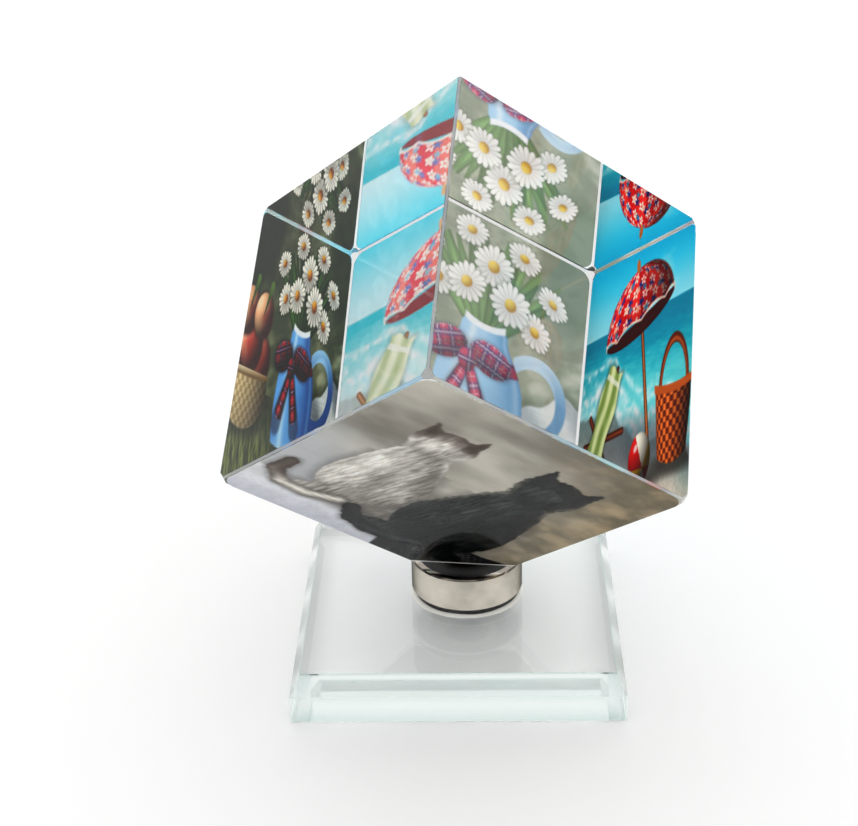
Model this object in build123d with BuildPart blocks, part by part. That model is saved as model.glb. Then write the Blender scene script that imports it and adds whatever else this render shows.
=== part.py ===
from build123d import *
from itertools import product
from math import atan, degrees, sqrt
import os

# Rotating photo cube. A clear crystal cube stands on one ground-off corner, with a photo
# print on each of its three lower faces, and turns on a ball bearing over a glass plate.
# Millimetres and degrees, +Z up. The origin is where the spin axis meets the table, and
# -Y is the front.

# Glass base plate, with a steep bevel round its top. Its middle lies left of the spin axis.
base_side = 62.7
base_thickness = 9.5
base_bevel_run = 1.9
base_bevel_drop = 3.9
base_arris = 0.2
base_offset_x = -1.7

# Deep groove ball bearing, 22 x 8 x 7, with a rubber seal on each side. Both rings are as
# thick beside their ball grooves, and the land gap is the space between them.
bearing_bore_radius = 4.0
ring_wall = 2.05
land_gap = 2.9
bearing_width = 7.0
ring_chamfer = 0.3
ball_diameter = 3.969
ball_count = 7
race_clearance = 0.05
seal_seat_depth = 0.65
seal_thickness = 0.5
seal_recess = 0.2
seal_snap_depth = 0.2
seal_lip_clearance = 0.1
cage_wall_clearance = 0.3
cage_pocket_clearance = 0.1
cage_end_clearance = 0.3
cage_front_height = 1.4

# Foot washer: lifts the bearing so that its turning middle clears the glass
washer_setback = 0.7
washer_wall = 2.3
washer_thickness = 1.5

# Milky glue between the plate and the foot washer, squeezed out into a bead round it
glue_film = 0.1
bead_reach = 1.0
bead_height = 0.7

# Pivot stud: pressed into the bearing, its flange carries the cube
stud_flange_setback = 0.25
stud_flange_thickness = 0.75
stud_stem_setback = 0.8
stud_end_chamfer = 0.4

# Crystal cube: edges bevelled, corners ground off. Each cut is measured along the edges
# that meet at its corner. The tip is the corner that the cube stands on.
cube_edge = 60.0
edge_bevel = 0.45
tip_cut = 14.5
crown_cut = 0.9
corner_cut = 2.0
left_edge_azimuth = -156.4

# Photo prints, trimmed clear of the bevels and of the ground tip
print_thickness = 0.2
print_margin = 0.5
print_corner_radius = 2.6
print_tip_gap = 0.4

# Radii of the bearing and of what seats on it
inner_land_radius = bearing_bore_radius + ring_wall
outer_land_radius = inner_land_radius + land_gap
bearing_radius = outer_land_radius + ring_wall
pitch_radius = (bearing_radius + bearing_bore_radius) / 2
race_radius = ball_diameter / 2 + race_clearance
seal_seat_radius = outer_land_radius + seal_seat_depth
washer_radius = bearing_radius - washer_setback
washer_bore_radius = washer_radius - washer_wall
bead_radius = washer_radius + bead_reach
stud_flange_radius = inner_land_radius - stud_flange_setback

# Heights, from the table up
washer_bottom = base_thickness + glue_film
bearing_bottom = washer_bottom + washer_thickness
bearing_middle = bearing_bottom + bearing_width / 2
bearing_top = bearing_bottom + bearing_width
stud_top = bearing_top + stud_flange_thickness
tip_facet_height = stud_top + glue_film

# The cube's three edge directions from its lower corner. They lean out alike, a third of
# a turn apart: left, right and back.
sharp_tip = Vector(0, 0, tip_facet_height - tip_cut / sqrt(3))
edge_ways = [
    Vector(sqrt(2 / 3), 0, sqrt(1 / 3)).rotate(Axis.Z, left_edge_azimuth + turn)
    for turn in (0, 120, 240)
]
cube_middle = sharp_tip + (edge_ways[0] + edge_ways[1] + edge_ways[2]) * (cube_edge / 2)

os.makedirs("parts", exist_ok=True)


# Glass plate: straight sides below, the bevel as a tapered extrusion of their top face
with BuildPart() as glass_base:
    with BuildSketch() as base_outline:
        with Locations((base_offset_x, 0)):
            Rectangle(base_side, base_side)
        chamfer(base_outline.vertices(), length=base_arris)
    extrude(amount=base_thickness - base_bevel_drop)
    extrude(
        glass_base.faces().sort_by(Axis.Z)[-1],
        amount=base_bevel_drop,
        taper=degrees(atan(base_bevel_run / base_bevel_drop)),
    )
    chamfer(glass_base.faces().sort_by(Axis.Z)[0].edges(), length=base_arris)
    chamfer(glass_base.faces().sort_by(Axis.Z)[-1].edges(), length=base_arris)

glass_base.part.label = "glass_base"
export_step(glass_base.part, "parts/glass_base.step")


# Glue: a thin film under the washer and a rounded bead outside it
with BuildPart() as base_adhesive:
    with BuildSketch(Plane.XZ):
        with BuildLine():
            Polyline(
                (washer_radius, base_thickness + bead_height),
                (washer_radius, washer_bottom),
                (washer_bore_radius, washer_bottom),
                (washer_bore_radius, base_thickness),
                (bead_radius, base_thickness),
            )
            Spline(
                (bead_radius, base_thickness),
                (washer_radius, base_thickness + bead_height),
                tangents=[(0, 1), (-1, 0)],
            )
        make_face()
    revolve(axis=Axis.Z)

base_adhesive.part.label = "base_adhesive"
export_step(base_adhesive.part, "parts/base_adhesive.step")


# Foot washer under the outer ring
with BuildPart() as foot_washer:
    with BuildSketch(Plane.XY.offset(washer_bottom)):
        Circle(washer_radius)
        Circle(washer_bore_radius, mode=Mode.SUBTRACT)
    extrude(amount=washer_thickness)

foot_washer.part.label = "foot_washer"
export_step(foot_washer.part, "parts/foot_washer.step")


# Outer ring: ball groove in the middle, a seat and a snap groove for a seal at each end
seal_depth = seal_recess + seal_thickness
with BuildPart() as bearing_outer_ring:
    with BuildSketch(Plane.XZ) as outer_profile:
        with Locations((outer_land_radius, bearing_middle)):
            Rectangle(ring_wall, bearing_width, align=(Align.MIN, Align.CENTER))
        chamfer(outer_profile.vertices().group_by(Axis.X)[-1], length=ring_chamfer)
        with Locations((pitch_radius, bearing_middle)):
            Circle(race_radius, mode=Mode.SUBTRACT)
        for face_height, inward in ((bearing_bottom, 1), (bearing_top, -1)):
            with Locations((outer_land_radius, face_height + inward * seal_depth / 2)):
                Rectangle(
                    seal_seat_depth,
                    seal_depth,
                    align=(Align.MIN, Align.CENTER),
                    mode=Mode.SUBTRACT,
                )
            snap_height = face_height + inward * (seal_recess + seal_thickness / 2)
            with Locations((seal_seat_radius, snap_height)):
                Rectangle(
                    seal_snap_depth,
                    seal_thickness,
                    align=(Align.MIN, Align.CENTER),
                    mode=Mode.SUBTRACT,
                )
    revolve(axis=Axis.Z)

bearing_outer_ring.part.label = "bearing_outer_ring"
export_step(bearing_outer_ring.part, "parts/bearing_outer_ring.step")


# Inner ring: bore for the stud, ball groove outside
with BuildPart() as bearing_inner_ring:
    with BuildSketch(Plane.XZ) as inner_profile:
        with Locations((bearing_bore_radius, bearing_middle)):
            Rectangle(ring_wall, bearing_width, align=(Align.MIN, Align.CENTER))
        chamfer(inner_profile.vertices().group_by(Axis.X)[0], length=ring_chamfer)
        with Locations((pitch_radius, bearing_middle)):
            Circle(race_radius, mode=Mode.SUBTRACT)
    revolve(axis=Axis.Z)

bearing_inner_ring.part.label = "bearing_inner_ring"
export_step(bearing_inner_ring.part, "parts/bearing_inner_ring.step")


# Balls, evenly spaced in the grooves
for number in range(ball_count):
    with BuildPart() as bearing_ball:
        with Locations((0, 0, bearing_middle)):
            with PolarLocations(pitch_radius, 1, start_angle=number * 360 / ball_count):
                Sphere(ball_diameter / 2)

    bearing_ball.part.label = f"bearing_ball_{number + 1}"
    export_step(bearing_ball.part, f"parts/{bearing_ball.part.label}.step")


# Crown cage: a ring with a round pocket for each ball, open on its upper side
cage_back_height = bearing_width / 2 - seal_depth - cage_end_clearance
with BuildPart() as bearing_cage:
    with BuildSketch(Plane.XY.offset(bearing_middle - cage_back_height)):
        Circle(outer_land_radius - cage_wall_clearance)
        Circle(inner_land_radius + cage_wall_clearance, mode=Mode.SUBTRACT)
    extrude(amount=cage_back_height + cage_front_height)
    with Locations((0, 0, bearing_middle)):
        with PolarLocations(pitch_radius, ball_count):
            Sphere(ball_diameter / 2 + cage_pocket_clearance, mode=Mode.SUBTRACT)

bearing_cage.part.label = "bearing_cage"
export_step(bearing_cage.part, "parts/bearing_cage.step")


# Two seals, snapped into the outer ring, their lips just clear of the inner ring
for side, seal_bottom in (
    ("lower", bearing_bottom + seal_recess),
    ("upper", bearing_top - seal_depth),
):
    with BuildPart() as bearing_seal:
        with BuildSketch(Plane.XY.offset(seal_bottom)):
            Circle(seal_seat_radius + seal_snap_depth)
            Circle(inner_land_radius + seal_lip_clearance, mode=Mode.SUBTRACT)
        extrude(amount=seal_thickness)

    bearing_seal.part.label = f"bearing_seal_{side}"
    export_step(bearing_seal.part, f"parts/{bearing_seal.part.label}.step")


# Pivot stud: a flange on the inner ring and a stem down its bore
with BuildPart() as pivot_stud:
    with BuildSketch(Plane.XY.offset(bearing_top)):
        Circle(stud_flange_radius)
    extrude(amount=stud_flange_thickness)
    with BuildSketch(Plane.XY.offset(bearing_top)):
        Circle(bearing_bore_radius)
    extrude(amount=stud_stem_setback - bearing_width)
    chamfer(pivot_stud.edges().sort_by(Axis.Z)[0], length=stud_end_chamfer)

pivot_stud.part.label = "pivot_stud"
export_step(pivot_stud.part, "parts/pivot_stud.step")


# Clear glue between the stud's flange and the cube's ground tip
with BuildPart() as cube_adhesive:
    with BuildSketch(Plane.XY.offset(stud_top)):
        Circle(stud_flange_radius)
    extrude(amount=glue_film)

cube_adhesive.part.label = "cube_adhesive"
export_step(cube_adhesive.part, "parts/cube_adhesive.step")


# Crystal: a cube grown from its lower corner along the three edge directions, with its
# edges bevelled and all eight corners ground off square to the diagonals through them
with BuildPart() as crystal_cube:
    with BuildSketch(Plane(origin=sharp_tip, x_dir=edge_ways[0], z_dir=edge_ways[2])):
        Rectangle(cube_edge, cube_edge, align=(Align.MIN, Align.MIN))
    extrude(amount=cube_edge)
    chamfer(crystal_cube.edges(), length=edge_bevel)
    for steps in product((0, 1), repeat=3):
        corner = sharp_tip
        for step, way in zip(steps, edge_ways):
            corner = corner + way * (step * cube_edge)
        cut = {0: tip_cut, 3: crown_cut}.get(sum(steps), corner_cut)
        outward = (corner - cube_middle).normalized()
        cut_plane = Plane(origin=corner - outward * (cut / sqrt(3)), z_dir=outward)
        split(bisect_by=cut_plane, keep=Keep.BOTTOM)

crystal_cube.part.label = "crystal_cube"
export_step(crystal_cube.part, "parts/crystal_cube.step")


# Photo prints: one rounded square film on the outside of each lower face, its lower
# corner trimmed along the ground tip. Each lies square to one edge direction.
print_side = cube_edge - 2 * print_margin
tip_trim = tip_cut + print_tip_gap * sqrt(2)
for away, side in enumerate(("right", "left", "front")):
    lower_face = Plane(
        origin=sharp_tip, x_dir=edge_ways[(away + 2) % 3], z_dir=edge_ways[away] * -1
    )
    with BuildPart() as photo_print:
        with BuildSketch(lower_face):
            with Locations((cube_edge / 2, cube_edge / 2)):
                RectangleRounded(print_side, print_side, print_corner_radius)
            Polygon((0, 0), (tip_trim, 0), (0, tip_trim), align=None, mode=Mode.SUBTRACT)
        extrude(amount=print_thickness)

    photo_print.part.label = f"photo_{side}"
    export_step(photo_print.part, f"parts/{photo_print.part.label}.step")
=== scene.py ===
from math import cos, pi, radians, sin

import bpy
import numpy as np
from mathutils import Matrix, Vector


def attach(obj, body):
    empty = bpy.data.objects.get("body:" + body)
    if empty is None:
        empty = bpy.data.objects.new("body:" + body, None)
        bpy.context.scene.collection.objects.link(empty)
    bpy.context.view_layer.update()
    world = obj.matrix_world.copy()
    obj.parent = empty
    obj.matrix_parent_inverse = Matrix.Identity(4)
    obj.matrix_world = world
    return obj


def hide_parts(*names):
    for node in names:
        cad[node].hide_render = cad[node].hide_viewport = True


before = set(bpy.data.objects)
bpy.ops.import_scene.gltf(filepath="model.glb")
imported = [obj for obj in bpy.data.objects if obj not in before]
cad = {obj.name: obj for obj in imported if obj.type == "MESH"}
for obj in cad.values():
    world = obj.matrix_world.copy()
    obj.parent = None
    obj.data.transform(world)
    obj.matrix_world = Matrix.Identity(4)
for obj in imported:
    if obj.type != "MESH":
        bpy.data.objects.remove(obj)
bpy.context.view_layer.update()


# The base plate is a square of thick float glass, clear with a faint green tint.
# Its rims are ground to bevels and polished, and it stands loose on the table.

plate_top = 0.0095
# The rims' darker green near the foot reaches up to this height, at the strength below: painted shade where
# the plate stands on the table.
foot_shade_height = 0.0040
green_arris = (0.0092, 0.0094)
rim_green_and_shade = 0.8
level_enough = 0.9
front_rim_rough = 0.05
side_rim_rough = 0.18


def new_material(name):
    """A material that holds only its Principled shader and its output."""
    made = bpy.data.materials.new(name)
    made.use_nodes = True
    tree = made.node_tree
    return made, tree, tree.nodes["Principled BSDF"]


def feed(tree, sockets, inputs):
    """Gives each named socket its value or its link."""
    for name, value in dict(inputs).items():
        if isinstance(value, bpy.types.NodeSocket):
            tree.links.new(value, sockets[name])
        else:
            sockets[name].default_value = value


def add(tree, kind, inputs=(), **settings):
    """Adds a node to a tree with its settings, and feeds its inputs."""
    made = tree.nodes.new(kind)
    for name, value in settings.items():
        setattr(made, name, value)
    feed(tree, made.inputs, inputs)
    return made


def reckon(tree, operation, *values):
    """A sum, product or comparison of numbers and links, worked out at each point."""
    return add(tree, "ShaderNodeMath", enumerate(values), operation=operation).outputs[0]


def spread(tree, value, low, high, start=0.0, stop=1.0, **settings):
    """Start where a value is low, stop where it is high, and in proportion between, or by a
    smooth step where the settings say so."""
    ends = {"Value": value, "From Min": low, "From Max": high, "To Min": start, "To Max": stop}
    return add(tree, "ShaderNodeMapRange", ends, **settings).outputs[0]


def mix(tree, share, first, second, kind="RGBA"):
    """A colour or a number on the way from a first to a second one, at a share of the way."""
    ends = {"Factor": share, "A": first, "B": second}
    return add(tree, "ShaderNodeMix", ends, data_type=kind).outputs["Result"]


def speckle(tree, place, scale, **more):
    """Soft random noise over a place, from 0 to 1."""
    return add(tree, "ShaderNodeTexNoise", {"Vector": place, "Scale": scale, **more}).outputs["Fac"]


def object_place(tree):
    """Where a point of the surface lies in the object."""
    return add(tree, "ShaderNodeTexCoord").outputs["Object"]


def new_group(name, inputs, **outputs):
    """A node group with named number inputs at their usual values, and named outputs of a kind."""
    tree = bpy.data.node_groups.new(name, "ShaderNodeTree")
    for title, usual in inputs.items():
        socket = tree.interface.new_socket(title, in_out="INPUT", socket_type="NodeSocketFloat")
        socket.default_value = usual
    for title, kind in outputs.items():
        tree.interface.new_socket(title, in_out="OUTPUT", socket_type="NodeSocket" + kind)
    return tree, tree.nodes.new("NodeGroupInput").outputs, tree.nodes.new("NodeGroupOutput").inputs


def use_group(tree, group, inputs):
    """Places a node group in a material, with its own values."""
    return add(tree, "ShaderNodeGroup", inputs, node_tree=group).outputs


def finish_nodes(finish, *names):
    """Gives CAD pieces their finish, in each of their material slots."""
    for name in names:
        for slot in cad[name].material_slots:
            slot.material = finish


def wipe_marks_group():
    """Wipe marks: patches of soft noise cut off below a level, times streaks, which are noise
    drawn out along one way. They make clean glass a very little less than sharp."""
    tree, given, out = new_group(
        "wipe_marks", {"Patch Scale": 60.0, "Streak Scale": 900.0, "Strength": 0.03},
        Roughness="Float", Mask="Float",
    )
    place = object_place(tree)
    patch = speckle(tree, place, given["Patch Scale"])
    patch = spread(tree, patch, 0.52, 0.75, interpolation_type="SMOOTHSTEP")
    stretch = {"Vector": place, "Rotation": (0.3, 0.5, 0.7), "Scale": (1.0, 0.12, 0.3)}
    drawn = add(tree, "ShaderNodeMapping", stretch).outputs[0]
    streak = speckle(tree, drawn, given["Streak Scale"], Detail=3.0, Distortion=0.4)
    marks = reckon(tree, "MULTIPLY", patch, streak)
    feed(tree, out, {"Roughness": reckon(tree, "MULTIPLY", marks, given["Strength"]), "Mask": marks})
    return tree


wipe_marks = wipe_marks_group()

base_glass, tree, shader = new_material("base_glass")
marks = use_group(tree, wipe_marks, {"Patch Scale": 45.0, "Strength": 0.04})
tint = mix(tree, marks["Mask"], (1.0, 1.0, 1.0, 1), (0.98, 0.99, 0.985, 1))
place = add(tree, "ShaderNodeTexCoord").outputs
height = add(tree, "ShaderNodeSeparateXYZ", {0: place["Object"]}).outputs["Z"]
facing = add(tree, "ShaderNodeSeparateXYZ", {0: place["Normal"]}).outputs
rim = reckon(tree, "LESS_THAN", reckon(tree, "ABSOLUTE", facing["Z"]), level_enough)
sideways = reckon(tree, "ABSOLUTE", facing["X"])
rim_rough = spread(tree, sideways, 0.3, 0.8, front_rim_rough, side_rim_rough)
# Towards the foot the rims are painted darker green, most at the foot and none from 4 mm up: painted shade
# where the plate stands on the table. Along their top arris they are tinted green as well.
painted_foot_shade = spread(tree, height, 0.0, foot_shade_height, rim_green_and_shade, 0.0)
arris_green = spread(tree, height, *green_arris, 0.0, rim_green_and_shade)
green = reckon(tree, "MULTIPLY", reckon(tree, "MAXIMUM", painted_foot_shade, arris_green), rim)
feed(tree, shader.inputs, {
    "Base Color": mix(tree, green, tint, (0.42, 0.58, 0.55, 1)),
    "Roughness": reckon(tree, "MULTIPLY_ADD", rim, rim_rough, marks["Roughness"]),
    "IOR": 1.52,
    "Transmission Weight": 1.0,
})
iron = add(tree, "ShaderNodeVolumeAbsorption", {"Color": (0.05, 0.60, 0.42, 1), "Density": 1.5})
feed(tree, tree.nodes["Material Output"].inputs, {"Volume": iron.outputs[0]})
finish_nodes(base_glass, "glass_base")


# The foot washer keeps the bearing clear of the glass: a turned disc of black nylon with a
# satin skin. It is glued to the plate below and to the bearing's outer ring above.

def relief(tree, height, strength, distance):
    """The normal of a skin that rises with the height, by up to a distance in metres."""
    rise = {"Height": height, "Strength": strength, "Distance": distance}
    return add(tree, "ShaderNodeBump", rise).outputs[0]


def moulded_skin_group():
    """Moulded skin: a fine even noise for the grain of the mould, and a broad one that varies
    the gloss and the tone, as where the material cooled slower."""
    tree, given, out = new_group(
        "moulded_skin",
        {"Grain Scale": 4000.0, "Cloud Scale": 250.0, "Gloss": 0.4, "Gloss Range": 0.15, "Depth": 0.3},
        Tone="Float", Roughness="Float", Normal="Vector",
    )
    place = object_place(tree)
    grain = speckle(tree, place, given["Grain Scale"], Detail=2.0)
    cloud = speckle(tree, place, given["Cloud Scale"], Detail=4.0)
    rough = reckon(tree, "MULTIPLY_ADD", cloud, given["Gloss Range"], given["Gloss"])
    bump = relief(tree, grain, given["Depth"], 0.00002)
    feed(tree, out, {"Tone": cloud, "Roughness": rough, "Normal": bump})
    return tree


moulded_skin = moulded_skin_group()


def skinned_material(name, skin, dark, light, given=(), plain=()):
    """A finish whose skin gives its gloss and relief and turns its colour from a dark to a light
    tone. What is given goes to the skin's group, and what is plain to the shader itself."""
    made, tree, shader = new_material(name)
    skin = use_group(tree, skin, given)
    feed(tree, shader.inputs, {
        "Base Color": mix(tree, skin["Tone"], (*dark, 1), (*light, 1)),
        "Roughness": skin["Roughness"],
        "Normal": skin["Normal"],
        **dict(plain),
    })
    return made


black_nylon = skinned_material(
    "black_nylon", moulded_skin, (0.003, 0.003, 0.003), (0.011, 0.010, 0.009), {"Gloss": 0.28},
)
finish_nodes(black_nylon, "foot_washer")


# The foot's glue is one run of glue, laid on the plate round the washer and drawn up against it before it
# hardened, so that its rim wanders and it is thicker in some places. Its milky near-white is partly its own
# colour and partly painted light, for the light that the glass plate sends into it. The film that is left
# under the washer is so thin that the washer's black shows through it.

washer_bore = 0.0080
washer_radius = 0.0103
glue_clear = 0.00002
glue_film_top = 0.00009
glue_film_inset = 0.0002
glue_wall_gap = 0.00001
bead_reach = 0.00098
bead_height = 0.00062
bead_steps = 240
bead_rows = 14


def glue_bead_mesh():
    """A closed ring about the spin axis: at each angle a profile goes up over the bead's crown
    to the washer's wall, down to the washer's foot, in under it and out again on the plate.
    The crown's height is the wall height times (1 - share across ** 1.7) ** 0.8, and the reach
    and the wall height waver as sums of a few sines of the angle."""
    angle = np.linspace(0, 2 * pi, bead_steps, endpoint=False)[:, None]
    waver = 0.5 * np.sin(2 * angle + 0.7) + 0.3 * np.sin(3 * angle + 2.1) + 0.2 * np.sin(7 * angle)
    reach = bead_reach * (0.80 + 0.15 * np.cos(2 * angle) + 0.05 * waver)
    height = bead_height * (0.86 + 0.14 * np.sin(2 * angle + 2.0) * np.sin(angle * 5 + 1.0))
    low = plate_top + glue_clear
    share = np.linspace(1, 0, bead_rows)[None, :]
    crown_radius = washer_radius + reach * share
    crown_height = low + (height - glue_clear) * (1 - share ** 1.7) ** 0.8
    film_radius = washer_bore + glue_film_inset
    under_radius = np.array([[washer_radius - glue_wall_gap, film_radius, film_radius, washer_radius]])
    under_height = np.array([[glue_film_top, glue_film_top, glue_clear, glue_clear]]) + plate_top
    radius = np.concatenate([crown_radius, np.repeat(under_radius, bead_steps, 0)], 1)
    level = np.concatenate([crown_height, np.repeat(under_height, bead_steps, 0)], 1)
    points = np.stack([radius * np.cos(angle), radius * np.sin(angle), level], -1)
    rows = points.shape[1]
    index = np.arange(bead_steps * rows).reshape(bead_steps, rows)
    ahead, beside = np.roll(index, -1, 0), np.roll(index, -1, 1)
    faces = np.stack([index, ahead, np.roll(ahead, -1, 1), beside], -1).reshape(-1, 4)
    mesh = bpy.data.meshes.new("foot_glue")
    mesh.from_pydata(points.reshape(-1, 3), [], faces.tolist())
    mesh.polygons.foreach_set("use_smooth", np.ones(len(faces), bool))
    thin_film = np.zeros((bead_steps, rows), np.int32)
    thin_film[:, bead_rows - 1:rows - 1] = 1
    mesh.polygons.foreach_set("material_index", thin_film.ravel())
    return mesh


def add_piece(name, mesh, *finishes):
    """Puts a finished mesh into the scene as a piece, at the origin and unturned."""
    piece = bpy.data.objects.new(name, mesh)
    bpy.context.scene.collection.objects.link(piece)
    for finish in finishes:
        mesh.materials.append(finish)
    return piece


def glue_material(name, thick, thin, clearness):
    """A cured glue: noise ripples its skin, varies its gloss and turns its tint from where it is
    thick to where it is thin. The clearness is the share of light that passes through."""
    made, tree, shader = new_material(name)
    ripple = speckle(tree, object_place(tree), 900.0, Detail=2.0)
    feed(tree, shader.inputs, {
        "Base Color": mix(tree, ripple, (*thick, 1), (*thin, 1)),
        "Roughness": spread(tree, ripple, 0.4, 0.8, 0.04, 0.16),
        "Normal": relief(tree, ripple, 0.1, 0.0001),
        "IOR": 1.48,
        "Transmission Weight": clearness,
    })
    return made


# The bead is painted a milky near-white: partly the glue's own colour, and partly painted light for the light
# that the glass plate sends into the bead.
milky_glue = glue_material("milky_glue", (0.93, 0.92, 0.86), (0.97, 0.965, 0.92), 0.0)
foot_glue = add_piece("foot_glue", glue_bead_mesh(), milky_glue, black_nylon)
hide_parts("base_adhesive")
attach(foot_glue, "base")


# The bearing's rings are hardened steel, turned and ground. Fine lines left by the wheel run
# round them, and a thin warm tarnish varies their tone. The outer ring is glued to the foot.

def turned_lines_group():
    """Turned lines: noise on the distance from the spin axis and on the height, with nothing
    round the axis, so that it draws circles on flat faces and level lines on walls."""
    tree, given, out = new_group(
        "turned_lines",
        {"Lines per Metre": 6000.0, "Gloss": 0.05, "Gloss Range": 0.08, "Depth": 0.06},
        Tone="Float", Roughness="Float", Normal="Vector",
    )
    place = object_place(tree)
    flat = add(tree, "ShaderNodeVectorMath", {0: place, 1: (1.0, 1.0, 0.0)}, operation="MULTIPLY")
    away = add(tree, "ShaderNodeVectorMath", {0: flat.outputs[0]}, operation="LENGTH")
    height = add(tree, "ShaderNodeSeparateXYZ", {0: place}).outputs["Z"]
    across = add(tree, "ShaderNodeCombineXYZ", {"X": away.outputs["Value"], "Y": height})
    lines = speckle(tree, across.outputs[0], given["Lines per Metre"], Detail=3.0, Roughness=0.7)
    cloud = speckle(tree, place, 180.0, Detail=3.0)
    both = reckon(tree, "MULTIPLY", lines, cloud)
    rough = reckon(tree, "MULTIPLY_ADD", both, given["Gloss Range"], given["Gloss"])
    bump = relief(tree, lines, given["Depth"], 0.00001)
    feed(tree, out, {"Tone": cloud, "Roughness": rough, "Normal": bump})
    return tree


turned_lines = turned_lines_group()

polished_steel = skinned_material(
    "polished_steel", turned_lines, (0.50, 0.44, 0.37), (0.90, 0.84, 0.75),
    plain={"Metallic": 1.0, "Specular Tint": (0.2, 0.2, 0.2, 1)},
)
finish_nodes(polished_steel, "bearing_outer_ring", "bearing_inner_ring")


# Seven steel balls, lapped to a mirror, run between the rings. A cage of natural nylon, moulded
# in one piece with a pocket for each, keeps them apart.

ball_steel = skinned_material(
    "ball_steel", turned_lines, (0.66, 0.66, 0.67), (0.74, 0.74, 0.75),
    {"Lines per Metre": 2500.0, "Gloss": 0.03, "Gloss Range": 0.05, "Depth": 0.02}, {"Metallic": 1.0},
)
finish_nodes(ball_steel, *[f"bearing_ball_{number}" for number in range(1, 8)])

cage_nylon = skinned_material(
    "cage_nylon", moulded_skin, (0.66, 0.62, 0.50), (0.80, 0.77, 0.66), {"Gloss": 0.35},
    {"Subsurface Weight": 0.15, "Subsurface Radius": (0.0012, 0.0010, 0.0007)},
)
finish_nodes(cage_nylon, "bearing_cage")


# The two seals are flat washers of black rubber, snapped into grooves in the outer ring, each
# with its lip just clear of the inner ring.

seal_rubber = skinned_material(
    "seal_rubber", moulded_skin, (0.004, 0.004, 0.004), (0.012, 0.012, 0.011),
    {"Grain Scale": 6000.0, "Gloss": 0.38, "Gloss Range": 0.2, "Depth": 0.35},
)
finish_nodes(seal_rubber, "bearing_seal_lower", "bearing_seal_upper")


# The pivot stud is a turned steel pin with a flange, blackened in hot oxide. Its stem is pressed
# into the inner ring, and a film of clear glue on the flange holds the crystal's ground tip.

black_steel = skinned_material(
    "black_steel", turned_lines, (0.010, 0.010, 0.011), (0.028, 0.027, 0.026),
    {"Lines per Metre": 9000.0, "Gloss": 0.22, "Gloss Range": 0.2, "Depth": 0.25}, {"Metallic": 1.0},
)
finish_nodes(black_steel, "pivot_stud")
clear_glue = glue_material("clear_glue", (0.98, 0.98, 0.97), (0.95, 0.96, 0.93), 1.0)
finish_nodes(clear_glue, "cube_adhesive")


# The cube is one block of clear optical crystal. Its faces are polished flat, its edges and
# corners have fine ground facets, and its lowest corner is cut off square to the spin axis.
# Its sizes, and those of the films on it, are in millimetres.

cube_edge = 60.0
tip_cut = 14.5
tip_facet_height = 18.95
left_edge_azimuth = radians(-156.4)
sharp_tip = np.array([0, 0, tip_facet_height - tip_cut / 3 ** 0.5])
left_way, right_way, back_way = [
    np.array([cos(turn) * (2 / 3) ** 0.5, sin(turn) * (2 / 3) ** 0.5, (1 / 3) ** 0.5])
    for turn in (left_edge_azimuth, left_edge_azimuth + 2 * pi / 3, left_edge_azimuth + 4 * pi / 3)
]
facet_starts_under = 0.02
facet_full_under = 0.06
ground_roughness = 0.3
frosted_share = 0.45
crystal_ior = 1.5168


def layer_shaders(tree, share, first, second):
    """Makes the material's surface a share of a second shader over a first one."""
    both = add(tree, "ShaderNodeMixShader", {0: share, 1: first.outputs[0], 2: second.outputs[0]})
    feed(tree, tree.nodes["Material Output"].inputs, {"Surface": both.outputs[0]})


crystal, tree, shader = new_material("crystal")
marks = use_group(tree, wipe_marks, {"Patch Scale": 38.0, "Strength": 0.012})
middle = (sharp_tip + (left_way + right_way + back_way) * cube_edge / 2) / 1000
from_middle = add(tree, "ShaderNodeVectorMath", {0: object_place(tree), 1: middle}, operation="SUBTRACT")
outmost = 0.0
for way in (left_way, right_way, back_way):
    reach = {0: from_middle.outputs[0], 1: way}
    reach = add(tree, "ShaderNodeVectorMath", reach, operation="DOT_PRODUCT").outputs["Value"]
    outmost = reckon(tree, "MAXIMUM", reckon(tree, "ABSOLUTE", reach), outmost)
ground = spread(
    tree, outmost, (cube_edge / 2 - facet_full_under) / 1000, (cube_edge / 2 - facet_starts_under) / 1000,
    ground_roughness, 0.0,
)
feed(tree, shader.inputs, {
    "Base Color": mix(tree, marks["Mask"], (1.0, 1.0, 1.0, 1), (0.985, 0.99, 0.99, 1)),
    "Roughness": reckon(tree, "ADD", marks["Roughness"], ground),
    "IOR": crystal_ior,
    "Transmission Weight": 1.0,
})
frost = add(tree, "ShaderNodeBsdfPrincipled", {"Base Color": (0.76, 0.77, 0.82, 1), "Roughness": 0.5})
inside = add(tree, "ShaderNodeNewGeometry").outputs["Backfacing"]
frosted = reckon(tree, "MULTIPLY", ground, frosted_share / ground_roughness)
frosted = reckon(tree, "MULTIPLY", frosted, reckon(tree, "SUBTRACT", 1.0, inside))
layer_shaders(tree, frosted, shader, frost)
finish_nodes(crystal, "crystal_cube")


# The three lower faces carry prints on thin film, bonded on with clear glue. The inks are clear
# on a milky ground, so that a print shows from outside, and from inside through the crystal.

print_margin = 0.5
print_corner_radius = 2.6
print_tip_gap = 0.4
tip_border = 0.35
bare_film = (0.96, 0.96, 0.95)
film_outside = 0.18
film_inside = 0.02
film_rows = 217


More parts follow.
